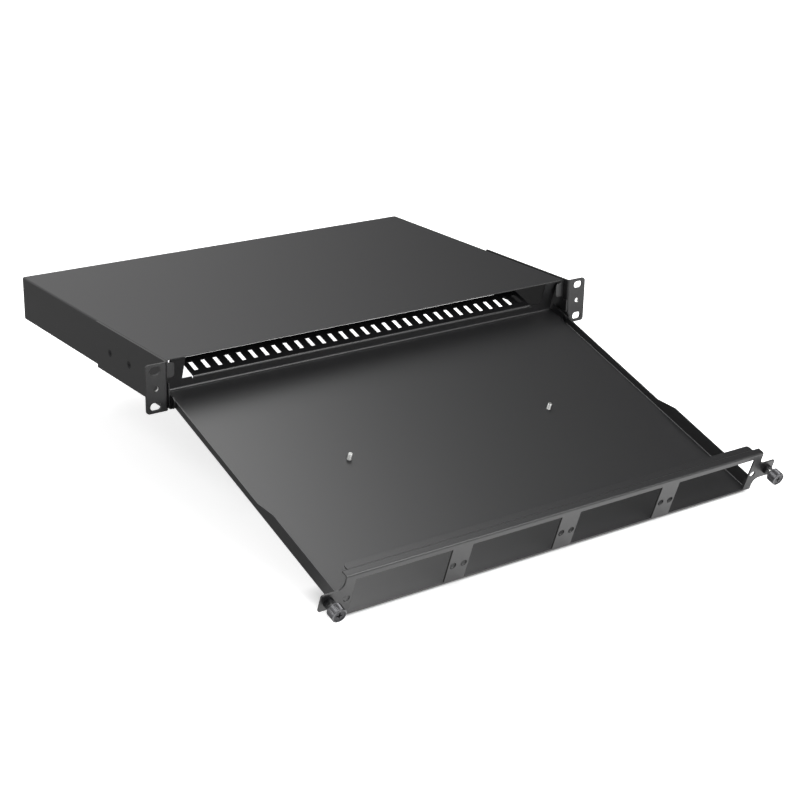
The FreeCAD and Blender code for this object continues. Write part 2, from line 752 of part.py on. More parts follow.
def build_rear_bulkhead():
    """Low rear wall with two posts, a foot folded forwards and a slotted shelf folded backwards."""
    body = new_body("rear_bulkhead")
    post_inner = post_outer - size.post_width
    shelf_half = post_inner - size.sill_width
    relief_edge = shelf_half + size.shelf_relief_width
    relief_floor = size.shelf_top - size.shelf_relief_depth
    right = [
        (post_outer, -size.drawer_sheet),
        (post_outer, post_top),
        (post_inner, post_top),
        (post_inner, size.sill_top),
        (relief_edge, size.sill_top),
        (relief_edge, relief_floor),
        (shelf_half, relief_floor),
        (shelf_half, size.shelf_top),
    ]
    left = [(-across, up) for across, up in reversed(right)]
    face = new_sketch(body, "bulkhead_outline", "XZ_Plane")
    outline(face, right + left)
    pad(body, "bulkhead", face, size.drawer_sheet, backwards=True)
    posts = both_signs(post_outer, post_top) + both_signs(post_inner, post_top)
    round_edges(body, "post_corners", "y", posts, size.post_corner_radius)

    # The foot lies in one plane with the tray's floor and meets it edge to edge.
    foot = new_sketch(body, "foot_outline", "XY_Plane", -size.drawer_sheet)
    rectangle(foot, -post_outer, -size.foot_depth, post_outer, 0)
    pad(body, "foot", foot, size.drawer_sheet)
    foot_outside = (size.drawer_sheet, -size.drawer_sheet)
    foot_radius = size.foot_bend_inside + size.drawer_sheet
    round_edges(body, "foot_bend_outside", "x", [foot_outside], foot_radius)
    round_edges(body, "foot_bend_inside", "x", [(0, 0)], size.foot_bend_inside)

    shelf_underside = size.shelf_top - size.drawer_sheet
    shelf = new_sketch(body, "shelf_outline", "XY_Plane", shelf_underside)
    rectangle(shelf, -shelf_half, 0, shelf_half, size.shelf_depth)
    pad(body, "shelf", shelf, size.drawer_sheet)
    outer_radius = size.drawer_bend_inside + size.drawer_sheet
    round_edges(body, "bend_outside", "x", [(0, size.shelf_top)], outer_radius)
    inner_corner = (size.drawer_sheet, shelf_underside)
    round_edges(body, "bend_inside", "x", [inner_corner], size.drawer_bend_inside)

    slot = new_sketch(body, "lacing_slot_profile", "XY_Plane")
    room = (shelf_half - size.lacing_slot_margin) * 2 - size.lacing_slot_width
    slot_count = rounded_down(room / size.lacing_slot_pitch) + 1
    row_length = size.lacing_slot_pitch * (slot_count - 1)
    slot_left = -row_length / 2 - size.lacing_slot_width / 2
    rectangle(
        slot,
        slot_left,
        size.lacing_slot_setback,
        slot_left + size.lacing_slot_width,
        size.lacing_slot_setback + size.lacing_slot_length,
    )
    first_slot = cut_through(body, "lacing_slot", slot)
    repeat(body, "lacing_slot_row", first_slot, "X_Axis", row_length, slot_count)
    place_on_drawer(body)


def build_tray_stud(name, side):
    """Threaded stud for a splice tray, held by its ribbed foot and head in the floor's hole."""
    body = new_body(f"{name}_tray_stud")
    radius = size.stud_diameter / 2
    rib = size.stud_rib_diameter / 2
    head_top = size.stud_head_depth - size.drawer_sheet
    section = new_sketch(body, "stud_section", "XZ_Plane")
    outline(section, [
        (0, -size.drawer_sheet),
        (size.stud_head / 2, -size.drawer_sheet),
        (size.stud_head / 2, head_top),
        (rib, head_top),
        (rib, 0),
        (radius, 0),
        (radius, size.stud_height),
        (0, size.stud_height),
    ])
    revolve(body, "stud", section, "V_Axis")
    place_on_drawer(body, size.stud_spacing / 2 * side, -size.stud_setback, 0)


def build_slide_shoe(name, side):
    """Nylon glide with ramped ends, between the tray's wall and the chassis wall, above the hem."""
    body = new_body(f"{name}_slide_shoe")
    top = shoe_bottom + size.shoe_height
    ramp = size.shoe_ramp
    profile = new_sketch(body, "shoe_outline", "YZ_Plane", shoe_inner * side)
    outline(profile, [
        (shoe_front, shoe_bottom + ramp),
        (shoe_front + ramp, shoe_bottom),
        (shoe_rear - ramp, shoe_bottom),
        (shoe_rear, shoe_bottom + ramp),
        (shoe_rear, top - ramp),
        (shoe_rear - ramp, top),
        (shoe_front + ramp, top),
        (shoe_front, top - ramp),
    ])
    circle(profile, pivot_y, pivot_z, size.rivet_diameter + size.seat_gap * 2)
    pad(body, "shoe", profile, shoe_outer - shoe_inner, backwards=side < 0)


def build_pivot_rivet(name, side):
    """Shouldered rivet that the drawer tilts on, pressed into the slide shoe."""
    body = new_body(f"{name}_pivot_rivet")
    shank = size.rivet_diameter / 2
    head = size.rivet_head / 2
    head_outer = tray_inner - size.rivet_gap
    head_inner = head_outer - size.rivet_head_height
    section = new_sketch(body, "rivet_section", "XY_Plane")
    outline(section, [
        (head_inner * side, 0),
        (shoe_outer * side, 0),
        (shoe_outer * side, shank),
        (head_outer * side, shank),
        (head_outer * side, head),
        (head_inner * side, head),
    ])
    revolve(body, "rivet", section, "H_Axis")
    place(body, 0, pivot_y, pivot_z)


def build_screw_ferrule(name, side):
    """Collar pressed into the bezel's tab, which keeps the thumbscrew captive."""
    body = new_body(f"{name}_screw_ferrule")
    flange = size.ferrule_flange / 2
    spigot = size.ferrule_spigot / 2
    front = -size.drawer_length - size.ferrule_height
    section = new_sketch(body, "ferrule_section", "XY_Plane")
    outline(section, [
        (shank_bore_radius, front),
        (flange, front),
        (flange, -size.drawer_length),
        (spigot, -size.drawer_length),
        (spigot, -bezel_back),
        (shank_bore_radius, -bezel_back),
    ])
    revolve(body, "ferrule", section, "V_Axis")
    place_on_drawer(body, screw_half * side, 0, size.screw_rise)


def build_screw_washer(name, side):
    """Thrust ring between the ferrule and the knob, inside the knob's rear recess."""
    body = new_body(f"{name}_screw_washer")
    front = size.washer_gap - knob_recess_floor
    section = new_sketch(body, "washer_section", "XY_Plane")
    rectangle(
        section,
        shank_bore_radius,
        front,
        knob_recess_radius - size.slide_gap,
        front + size.washer_thickness,
    )
    revolve(body, "washer", section, "V_Axis")
    place_on_drawer(body, screw_half * side, 0, size.screw_rise)


def build_thumbscrew_knob(name, side):
    """Round knob, hollow behind to pass over the ferrule, with a cross recess in front."""
    body = new_body(f"{name}_thumbscrew_knob")
    radius = size.knob_diameter / 2
    seat = shank_radius + size.seat_gap
    dish = radius - size.knob_rim
    bevel = size.knob_bevel
    section = new_sketch(body, "knob_section", "XY_Plane")
    outline(section, [
        (0, -knob_seat_floor),
        (seat, -knob_seat_floor),
        (seat, -knob_recess_floor),
        (knob_recess_radius, -knob_recess_floor),
        (knob_recess_radius, -knob_back),
        (radius, -knob_back),
        (radius, bevel - knob_front),
        (radius - bevel, -knob_front),
        (dish, -knob_front),
        (dish, -knob_dish_floor),
        (0, -knob_dish_floor),
    ])
    revolve(body, "knob", section, "V_Axis")

    cross = new_sketch(body, "drive_cross", "XZ_Plane", knob_dish_floor)
    arm = size.drive_length / 2
    half_width = size.drive_width / 2
    outline(cross, [
        (-arm, -half_width),
        (-half_width, -half_width),
        (-half_width, -arm),
        (half_width, -arm),
        (half_width, -half_width),
        (arm, -half_width),
        (arm, half_width),
        (half_width, half_width),
        (half_width, arm),
        (-half_width, arm),
        (-half_width, half_width),
        (-arm, half_width),
    ])
    cut_depth(body, "drive", cross, size.drive_depth)
    place_on_drawer(body, screw_half * side, 0, size.screw_rise)


def build_thumbscrew_shank(name, side):
    """Steel screw that is fixed in the knob and ends inside the bezel's tab."""
    body = new_body(f"{name}_thumbscrew_shank")
    head = size.seat_gap - knob_seat_floor
    tip = -bezel_back - size.shank_tip_setback
    section = new_sketch(body, "shank_section", "XY_Plane")
    outline(section, [
        (0, head),
        (shank_radius, head),
        (shank_radius, tip),
        (0, tip),
    ])
    revolve(body, "shank", section, "V_Axis")
    place_on_drawer(body, screw_half * side, 0, size.screw_rise)


build_chassis_shell()
build_drawer_tray()
build_front_bezel()
build_rear_bulkhead()
for side_name, side_sign in (("left", -1), ("right", 1)):
    build_rack_ear(side_name, side_sign)
    build_ear_screws(side_name, side_sign)
    build_tray_stud(side_name, side_sign)
    build_slide_shoe(side_name, side_sign)
    build_pivot_rivet(side_name, side_sign)
    build_screw_ferrule(side_name, side_sign)
    build_screw_washer(side_name, side_sign)
    build_thumbscrew_knob(side_name, side_sign)
    build_thumbscrew_shank(side_name, side_sign)
document.recompute()

for item in document.Objects:
    if "Invalid" in item.State or "Error" in item.State:
        raise RuntimeError(f"{item.Label} is {item.State}")
for subpart in subparts:
    if subpart.Shape.isNull() or not subpart.Shape.isValid():
        raise RuntimeError(f"{subpart.Label} has no valid shape")

os.makedirs("parts", exist_ok=True)
for subpart in subparts:
    subpart.Shape.exportStep(f"parts/{subpart.Label}.step")
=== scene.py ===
import json
import math

import bmesh
import bpy
import numpy as np
from mathutils import Matrix, Vector

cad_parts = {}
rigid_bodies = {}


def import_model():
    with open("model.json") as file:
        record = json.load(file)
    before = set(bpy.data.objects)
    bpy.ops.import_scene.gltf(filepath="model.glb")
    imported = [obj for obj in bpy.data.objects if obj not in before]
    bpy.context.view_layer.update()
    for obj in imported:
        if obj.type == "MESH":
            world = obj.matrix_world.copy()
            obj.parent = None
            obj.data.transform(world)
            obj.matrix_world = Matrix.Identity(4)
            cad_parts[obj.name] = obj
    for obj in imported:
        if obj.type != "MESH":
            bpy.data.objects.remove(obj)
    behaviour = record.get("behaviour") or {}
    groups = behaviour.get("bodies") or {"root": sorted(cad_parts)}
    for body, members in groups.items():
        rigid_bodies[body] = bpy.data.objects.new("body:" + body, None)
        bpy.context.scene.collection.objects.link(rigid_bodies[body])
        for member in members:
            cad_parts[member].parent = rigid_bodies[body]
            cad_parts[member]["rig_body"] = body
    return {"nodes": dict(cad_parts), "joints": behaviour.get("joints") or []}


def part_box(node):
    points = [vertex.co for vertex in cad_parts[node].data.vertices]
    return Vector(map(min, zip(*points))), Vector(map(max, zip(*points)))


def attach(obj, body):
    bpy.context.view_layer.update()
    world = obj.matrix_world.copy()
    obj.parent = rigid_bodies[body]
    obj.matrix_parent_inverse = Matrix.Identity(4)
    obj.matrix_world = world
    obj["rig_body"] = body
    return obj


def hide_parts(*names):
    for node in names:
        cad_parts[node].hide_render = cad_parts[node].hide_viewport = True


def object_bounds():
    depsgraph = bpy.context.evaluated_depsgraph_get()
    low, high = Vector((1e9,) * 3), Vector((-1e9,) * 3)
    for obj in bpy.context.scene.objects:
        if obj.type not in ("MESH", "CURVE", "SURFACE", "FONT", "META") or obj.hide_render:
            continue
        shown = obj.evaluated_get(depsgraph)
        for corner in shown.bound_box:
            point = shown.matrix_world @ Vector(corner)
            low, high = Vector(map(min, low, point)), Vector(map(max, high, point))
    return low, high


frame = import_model()
cad_low, cad_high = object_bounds()


# Chassis shell. Cold-rolled steel sheet, laser cut, folded into a cover and two side walls with
# a hem along the bottom, then powder coated black. Cut edges are rounded a little by deburring
# and by the coat that wraps round them.
SHEET_EDGE_RADIUS = 0.16e-3
ROUNDED_EDGE_ANGLE = math.radians(30)
FLAT_SIDE_ANGLE = math.radians(0.2)
SHEET_MERGE_DISTANCE = 2e-6
COAT_COLOUR = "#19191a"
COAT_GRAIN = 0.7e-3
COAT_GRAIN_HEIGHT = 0.006e-3


def linear(hex_colour):
    """The sRGB curve's inverse on each of a hex colour's three channels, with alpha 1."""
    channels = [int(hex_colour[place : place + 2], 16) / 255 for place in (1, 3, 5)]
    return [
        level / 12.92 if level <= 0.04045 else ((level + 0.055) / 1.055) ** 2.4
        for level in channels
    ] + [1.0]


def add_node(tree, kind, settings=None, inputs=None, links=None):
    """A shader node with its properties, its sockets' constants and the links into it."""
    node = tree.nodes.new(kind)
    for name, value in (settings or {}).items():
        setattr(node, name, value)
    for name, value in (inputs or {}).items():
        node.inputs[name].default_value = value
    for name, source in (links or {}).items():
        tree.links.new(source, node.inputs[name])
    return node


def new_material(name):
    """A material with an empty node tree."""
    material = bpy.data.materials.new(name)
    material.use_nodes = True
    material.node_tree.nodes.clear()
    return material, material.node_tree


def fine_powder_coat():
    """Fine-textured satin powder coat: a dark even colour, a broad soft sheen from the melted
    powder's slight orange peel, and no sharp reflections."""
    material, tree = new_material("black fine-texture powder coat")
    place = add_node(tree, "ShaderNodeTexCoord")
    grain = add_node(
        tree,
        "ShaderNodeTexNoise",
        inputs={"Scale": 1 / COAT_GRAIN, "Detail": 2.0, "Roughness": 0.6},
        links={"Vector": place.outputs["Object"]},
    )
    relief = add_node(
        tree,
        "ShaderNodeBump",
        inputs={"Strength": 1.0, "Distance": COAT_GRAIN_HEIGHT},
        links={"Height": grain.outputs[0]},
    )
    coat = add_node(
        tree,
        "ShaderNodeBsdfPrincipled",
        inputs={
            "Base Color": linear(COAT_COLOUR),
            "Roughness": 0.38,
            "IOR": 1.5,
            "Specular IOR Level": 0.65,
        },
        links={"Normal": relief.outputs["Normal"]},
    )
    add_node(tree, "ShaderNodeOutputMaterial", links={"Surface": coat.outputs["BSDF"]})
    return material


def add_object(name, data):
    """An object that holds the given data, linked into the scene."""
    piece = bpy.data.objects.new(name, data)
    bpy.context.scene.collection.objects.link(piece)
    return piece


def deburred_sheet(node, material, one_face_sides=False):
    """A merged copy of a sheet node, with every sharp edge rounded by two facets and its normals
    weighted by face area, so that flat sides stay flat to the light. A sheet with few holes may
    have each flat side joined into one face first."""
    source = frame["nodes"][node]
    name = node + "_deburred"
    mesh = source.data.copy()
    mesh.name = name
    work = bmesh.new()
    work.from_mesh(mesh)
    bmesh.ops.remove_doubles(work, verts=work.verts, dist=SHEET_MERGE_DISTANCE)
    bmesh.ops.dissolve_degenerate(work, edges=work.edges, dist=SHEET_MERGE_DISTANCE / 2)
    if one_face_sides:
        bmesh.ops.dissolve_limit(
            work, angle_limit=FLAT_SIDE_ANGLE, verts=work.verts, edges=work.edges
        )
    work.to_mesh(mesh)
    work.free()
    mesh.shade_smooth()
    mesh.materials.clear()
    mesh.materials.append(material)
    piece = add_object(name, mesh)
    edge = piece.modifiers.new("deburred edges", "BEVEL")
    edge.width = SHEET_EDGE_RADIUS
    edge.segments = 2
    edge.limit_method = "ANGLE"
    edge.angle_limit = ROUNDED_EDGE_ANGLE
    edge.use_clamp_overlap = False
    piece.modifiers.new("flat faces", "WEIGHTED_NORMAL").weight = 100
    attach(piece, source["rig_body"])
    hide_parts(node)
    return piece


powder_coat = fine_powder_coat()
deburred_sheet("chassis_shell", powder_coat)


# Rack ears. Two-millimetre steel brackets with two rack slots and one round hole each, folded
# once at the rack face and powder coated in the same black as the chassis. The round hole is
# tapped after coating, so its wall is bare zinc-plated steel.
STEEL_COLOUR = "#c9cac8"
TAPPED_HOLE_ACROSS = 0.232
TAPPED_HOLE_RADIUS = 2.4e-3


def zinc_plated_steel():
    """Bright zinc on steel: a pale grey metal with a fine satin shine."""
    material, tree = new_material("bright zinc-plated steel")
    plate = add_node(
        tree,
        "ShaderNodeBsdfPrincipled",
        inputs={"Base Color": linear(STEEL_COLOUR), "Metallic": 1.0, "Roughness": 0.28},
    )
    add_node(tree, "ShaderNodeOutputMaterial", links={"Surface": plate.outputs["BSDF"]})
    return material


def rows_of(items, name):
    """A three-number property of every face or vertex, as the rows of an array."""
    values = np.zeros(len(items) * 3)
    items.foreach_get(name, values)
    return values.reshape(-1, 3)


def tap_hole(piece, across, material):
    """The second material on the faces that lie within the hole's radius of its axis, which
    runs backwards at mid-height, and that don't face along it."""
    mesh = piece.data
    mesh.materials.append(material)
    centres = rows_of(mesh.polygons, "center")
    facing = rows_of(mesh.polygons, "normal")
    near = np.hypot(centres[:, 0] - across, centres[:, 2]) < TAPPED_HOLE_RADIUS
    wall = near & (np.abs(facing[:, 1]) < 0.1)
    mesh.polygons.foreach_set("material_index", wall.astype(np.int32))


zinc = zinc_plated_steel()
for side, sign in (("left", -1), ("right", 1)):
    ear = deburred_sheet(side + "_rack_ear", powder_coat)
    tap_hole(ear, sign * TAPPED_HOLE_ACROSS, zinc)


# Ear screws. Countersunk steel screws with a cross recess, blackened by an oxide bath, which
# leaves the metal's own shine under a thin dark skin.
OXIDE_COLOUR = "#2b2b2d"
OXIDE_PATCH = 1 / 900
SCREW_CONE_DEPTH = 1.45e-3
RECESS_ARM = 1.9e-3
RECESS_ARM_WIDTH = 0.75e-3
RECESS_DEPTH = 1.3e-3
RECESS_WALL_SHARE = 0.35
RECESS_END_SHARE = 0.45
SCREW_RINGS = 36
SCREW_RAYS = 96
GRID_MERGE_DISTANCE = 1e-7
SHARP_EDGE_ANGLE = math.radians(35)


def patchy_metal(name, colour, metallic, patch, detail, shiniest, dullest):
    """A metal finish whose roughness drifts between two values in soft patches of a size."""
    material, tree = new_material(name)
    place = add_node(tree, "ShaderNodeTexCoord")
    clouds = add_node(
        tree,
        "ShaderNodeTexNoise",
        inputs={"Scale": 1 / patch, "Detail": detail},
        links={"Vector": place.outputs["Object"]},
    )
    roughness = add_node(
        tree,
        "ShaderNodeMapRange",
        inputs={"To Min": shiniest, "To Max": dullest},
        links={"Value": clouds.outputs[0]},
    )
    skin = add_node(
        tree,
        "ShaderNodeBsdfPrincipled",
        inputs={"Base Color": linear(colour), "Metallic": metallic},
        links={"Roughness": roughness.outputs["Result"]},
    )
    add_node(tree, "ShaderNodeOutputMaterial", links={"Surface": skin.outputs["BSDF"]})
    return material


def mesh_from_grid(name, points):
    """Faces between neighbouring rows and columns of a grid of points (rows, columns, 3), with
    the last column joined to the first."""
    rows, columns = points.shape[:2]
    index = np.arange(rows * columns).reshape(rows, columns)
    following = np.roll(index, -1, axis=1)
    faces = np.stack([index[:-1], following[:-1], following[1:], index[1:]], axis=-1)
    mesh = bpy.data.meshes.new(name)
    mesh.from_pydata(points.reshape(-1, 3).tolist(), [], faces.reshape(-1, 4).tolist())
    return mesh


def closed_piece(name, meshes, material):
    """One object from several grids: doubles merged, normals turned outwards, smooth faces, and
    sharp edges kept sharp."""
    work = bmesh.new()
    for mesh in meshes:
        work.from_mesh(mesh)
        bpy.data.meshes.remove(mesh)
    bmesh.ops.remove_doubles(work, verts=work.verts, dist=GRID_MERGE_DISTANCE)
    bmesh.ops.dissolve_degenerate(work, edges=work.edges, dist=GRID_MERGE_DISTANCE / 10)
    bmesh.ops.recalc_face_normals(work, faces=work.faces)
    mesh = bpy.data.meshes.new(name)
    work.to_mesh(mesh)
    work.free()
    mesh.shade_smooth()
    mesh.set_sharp_from_angle(angle=SHARP_EDGE_ANGLE)
    mesh.materials.append(material)
    return add_object(name, mesh)


def full_turn(rays):
    """Equal steps of angle round a circle, from zero to one step short of a full turn."""
    return np.linspace(0, 2 * np.pi, rays, endpoint=False)


def about_axis(axis, origin, radius, along, angle):
    """Cylindrical coordinates to the row frame: the origin, plus the way along the axis, plus
    the radius times the cosine and sine of the angle on two directions across the axis, of
    which the first is level."""
    axis = np.array(axis, float)
    level = np.cross([0.0, 0.0, 1.0], axis)
    level /= np.linalg.norm(level)
    upright = np.cross(axis, level)
    turn = level * np.cos(angle)[..., None] + upright * np.sin(angle)[..., None]
    return np.array(origin) + along[..., None] * axis + radius[..., None] * turn


def turned(name, axis, origin, profile, angle):
    """A profile, whose rows are a radius and a way along the axis, turned round the axis."""
    profile = np.array(profile, float)
    shape = (len(profile), angle.size)
    radius = np.broadcast_to(profile[:, :1], shape)
    along = np.broadcast_to(profile[:, 1:], shape)
    turn = np.broadcast_to(angle, shape)
    return mesh_from_grid(name, about_axis(axis, origin, radius, along, turn))


def cross_depth(x, y, arm, half_width):
    """Depth share of a cross recess at a point: one within half_width of either of two crossed
    lines, sloping to zero at the arms' ends, the larger of the two lines' values."""

    def line(u, v):
        wall = np.clip((half_width - np.abs(v)) / (RECESS_WALL_SHARE * half_width), 0, 1)
        return wall * np.clip((arm - np.abs(u)) / (RECESS_END_SHARE * arm), 0, 1)

    return np.maximum(line(x, y), line(y, x))


def countersunk_screw(name, centre, outward, head_radius, shank_radius, length):
    """A disc with a cross recess in polar rings, then the 90-degree cone and the shank."""
    angle = full_turn(SCREW_RAYS)
    turn = np.broadcast_to(angle, (SCREW_RINGS, SCREW_RAYS))
    ring = np.linspace(0, head_radius, SCREW_RINGS)[:, None]
    radius = np.broadcast_to(ring, turn.shape)
    share = cross_depth(
        radius * np.cos(turn), radius * np.sin(turn), RECESS_ARM, RECESS_ARM_WIDTH / 2
    )
    face = about_axis(outward, centre, radius, -RECESS_DEPTH * share, turn)
    profile = [
        (head_radius, 0),
        (shank_radius, shank_radius - head_radius),
        (shank_radius, -length),
        (0, -length),
    ]
    return [
        mesh_from_grid(name + "_face", face),
        turned(name + "_body", outward, centre, profile, angle),
    ]


oxide = patchy_metal("black oxide steel", OXIDE_COLOUR, 0.85, OXIDE_PATCH, 3.0, 0.34, 0.5)
for side, sign in (("left", -1), ("right", 1)):
    node = side + "_ear_screws"
    low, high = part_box(node)
    head_radius = (high.z - low.z) / 2
    outside = low.x if sign < 0 else high.x
    grids = []
    for middle in (low.y + head_radius, high.y - head_radius):
        grids += countersunk_screw(
            node,
            centre=(outside, middle, (low.z + high.z) / 2),
            outward=(sign, 0, 0),
            head_radius=head_radius,
            shank_radius=head_radius - SCREW_CONE_DEPTH,
            length=high.x - low.x,
        )
    screws = closed_piece(node + "_crossed", grids, oxide)
    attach(screws, "chassis")
    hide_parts(node)


# Drawer: tray, front bezel and rear bulkhead. Folded steel sheets, spot welded to each other
# before one powder coat goes over all three.
deburred_sheet("drawer_tray", powder_coat, one_face_sides=True)
for node in ("front_bezel", "rear_bulkhead"):
    deburred_sheet(node, powder_coat)


# Tray studs. M4 studs of bright zinc-plated steel, pressed into the tray's floor from below,
# with a rolled thread and a small chamfer at the tip.
STUD_RADIUS = 2.0e-3
STUD_CHAMFER = 0.45e-3
STUD_HEAD_DEPTH = 0.7e-3
STUD_RIB_RADIUS = 2.2e-3
STUD_RIB_TOP = 1.2e-3
THREAD_PITCH = 0.7e-3
THREAD_DEPTH = 0.3e-3
THREAD_ROWS_PER_TURN = 8
THREAD_RAYS = 64


def span_along(node, axis):
    """Lowest and highest place of a node along an axis, its largest radius about the line
    through its middle, and that middle at zero along the axis."""
    points = rows_of(frame["nodes"][node].data.vertices, "co")
    axis = np.array(axis, float)
    along = points @ axis
    flat = points - along[:, None] * axis
    middle = (flat.min(0) + flat.max(0)) / 2
    middle -= (middle @ axis) * axis
    return along.min(), along.max(), np.linalg.norm(flat - middle, axis=1).max(), middle


def threaded_rod(name, axis, middle, start, end):
    """Radius is the stud's own less a triangle wave of the thread's depth, whose phase is the
    way along the axis in pitches minus the angle in turns, faded out at the chamfered end."""
    rows = int((end - start) / THREAD_PITCH * THREAD_ROWS_PER_TURN) + 1
    along, turn = np.broadcast_arrays(
        np.linspace(start, end, rows)[:, None], full_turn(THREAD_RAYS)
    )
    phase = along / THREAD_PITCH - turn / (2 * np.pi)
    groove = THREAD_DEPTH * np.abs(2 * (phase - np.floor(phase + 0.5)))
    limit = STUD_RADIUS - np.clip(STUD_CHAMFER - (end - along), 0, STUD_CHAMFER)
    thread = np.minimum(STUD_RADIUS - groove, limit)
    grids = [mesh_from_grid(name + "_thread", about_axis(axis, middle, thread, along, turn))]
    for row, place in ((-1, end), (0, start)):
        radius = np.array([[1.0], [0.0]]) * thread[row]
        cap = about_axis(axis, middle, radius, np.full(radius.shape, place), turn[:2])
        grids.append(mesh_from_grid(name + "_cap", cap))
    return grids


joints = {joint["name"]: joint for joint in frame["joints"]}
screw_axis = np.array(joints["left_screw_travel"]["axis"], float)
floor_normal = np.cross([1.0, 0.0, 0.0], screw_axis)
for side in ("left", "right"):
    node = side + "_tray_stud"
    start, end, head_radius, middle = span_along(node, floor_normal)
    under_floor = start + STUD_HEAD_DEPTH
    rib_top = start + STUD_RIB_TOP
    profile = [
        (0, start),
        (head_radius, start),
        (head_radius, under_floor),
        (STUD_RIB_RADIUS, under_floor),
        (STUD_RIB_RADIUS, rib_top),
        (0, rib_top),
    ]
    grids = threaded_rod(node, floor_normal, middle, rib_top, end)
    grids.append(turned(node + "_base", floor_normal, middle, profile, full_turn(THREAD_RAYS)))
    stud = closed_piece(node + "_threaded", grids, zinc)
    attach(stud, "drawer")
    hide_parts(node)


# Slide shoes and pivot rivets. Black acetal glides, injection moulded, between tray and
# chassis, each held by a blackened shoulder rivet.
ACETAL_COLOUR = "#19191a"


def moulded_acetal():
    """Moulded black acetal: a low even sheen and no grain."""
    material, tree = new_material("moulded black acetal")
    plastic = add_node(
        tree,
        "ShaderNodeBsdfPrincipled",
        inputs={"Base Color": linear(ACETAL_COLOUR), "Roughness": 0.38, "IOR": 1.48},
    )
    add_node(tree, "ShaderNodeOutputMaterial", links={"Surface": plastic.outputs["BSDF"]})
    return material


def finish_node(node, material):
    """The material on a CAD node's own mesh."""
    mesh = frame["nodes"][node].data
    mesh.materials.clear()
    mesh.materials.append(material)


acetal = moulded_acetal()
for side in ("left", "right"):
    finish_node(side + "_slide_shoe", acetal)
    finish_node(side + "_pivot_rivet", oxide)


# Captive thumbscrews: a blackened ferrule pressed into the bezel's tab, an acetal thrust
# washer, a zinc-plated screw and a knurled knob, turned from steel and plated in smoked nickel.
# The face inside the rim takes a darker copy of the nickel, which is painted shade.
NICKEL_COLOUR = "#5f5f61"
SHADED_FACE_COLOUR = "#38383a"
NICKEL_PATCH = 1 / 600
KNURL_PITCH = 0.9e-3
KNURL_DEPTH = 0.22e-3
KNURL_RAYS_PER_TOOTH = 6
KNURL_FADE = 0.5e-3
KNURL_ROWS = np.array([0, 0.25e-3, 0.6e-3])
KNOB_FACE_RINGS = 56
KNOB_BEVEL = 0.5e-3
KNOB_REAR_BEVEL = 1.0e-3
KNOB_RIM = 1.2e-3
KNOB_DISH = 0.5e-3
KNOB_DISH_SLOPE = 0.25e-3
KNOB_CROSS_ARM = 3.0e-3
KNOB_CROSS_WIDTH = 1.2e-3
KNOB_CROSS_DEPTH = 1.6e-3
KNOB_RECESS_RADIUS = 5.1e-3
KNOB_RECESS_DEPTH = 4.6e-3


def knurled_knob(name, outward, middle, rear, front, radius):
    """One profile turned round the axis, from the middle of the front to the middle of the rear
    recess. The front drops by a dish inside its rim and by a cross recess. The wall's radius
    loses a straight knurl, a triangle wave round the circumference that fades at both rims, and
    a bevel at the rear. The faces inside the rim take the second material, a painted shade."""
    teeth = round(2 * np.pi * radius / KNURL_PITCH)
    angle = full_turn(teeth * KNURL_RAYS_PER_TOOTH)

    face = np.linspace(0, radius - KNOB_BEVEL, KNOB_FACE_RINGS)[:, None]
    dish = KNOB_DISH * np.clip((radius - KNOB_RIM - face) / KNOB_DISH_SLOPE, 0, 1)
    cross = cross_depth(
        face * np.cos(angle), face * np.sin(angle), KNOB_CROSS_ARM, KNOB_CROSS_WIDTH / 2
    )
    face_along = front - dish - KNOB_CROSS_DEPTH * cross
    face_radius = np.broadcast_to(face, face_along.shape)

    front_rim = front - KNOB_BEVEL
    rear_rim = rear + KNOB_REAR_BEVEL
    wall = np.concatenate([front_rim - KNURL_ROWS, rear_rim + KNURL_ROWS[::-1]])[:, None]
    fade = np.clip(np.minimum(front_rim - wall, wall - rear_rim) / KNURL_FADE, 0, 1)
    wave = np.abs(2 * (angle * teeth / (2 * np.pi) % 1) - 1)
    wall_radius = radius - KNURL_DEPTH * wave * fade
    wall_along = np.broadcast_to(wall, wall_radius.shape)

    hollow = rear + KNOB_RECESS_DEPTH
    back = np.array(
        [
            (radius - KNOB_REAR_BEVEL, rear),
            (KNOB_RECESS_RADIUS, rear),
            (KNOB_RECESS_RADIUS, hollow),
            (0.0, hollow),
        ]
    )
    back_radius = np.broadcast_to(back[:, :1], (len(back), angle.size))
    back_along = np.broadcast_to(back[:, 1:], (len(back), angle.size))

    all_radius = np.concatenate([face_radius, wall_radius, back_radius])
    all_along = np.concatenate([face_along, wall_along, back_along])
    turn = np.broadcast_to(angle, all_radius.shape)
    mesh = mesh_from_grid(name, about_axis(outward, middle, all_radius, all_along, turn))
    inside_rim = (face[:-1] < radius - KNOB_RIM) & np.ones(angle.size, bool)
    material_index = np.zeros(len(mesh.polygons), np.int32)
    material_index[: inside_rim.size] = inside_rim.ravel()
    mesh.polygons.foreach_set("material_index", material_index)
    return mesh


# Two copies of the nickel: the darker one paints shade on the knob's face inside the rim.
nickel, painted_shade_face = [
    patchy_metal(name, colour, 1.0, NICKEL_PATCH, 2.0, 0.24, 0.36)
    for name, colour in (
        ("smoked nickel plating", NICKEL_COLOUR),
        ("nickel plating darkened as painted shade", SHADED_FACE_COLOUR),
    )
]
for side in ("left", "right"):
    node = side + "_thumbscrew_knob"
    rear, front, radius, middle = span_along(node, -screw_axis)
    grid = knurled_knob(node, -screw_axis, middle, rear, front, radius)
    knob = closed_piece(node + "_knurled", [grid], nickel)
    # The second material is the darker copy, painted shade on the face inside the rim.
    knob.data.materials.append(painted_shade_face)
    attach(knob, side + "_thumbscrew")
    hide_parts(node)
    finish_node(side + "_screw_ferrule", oxide)
    finish_node(side + "_screw_washer", acetal)
    finish_node(side + "_thumbscrew_shank", zinc)


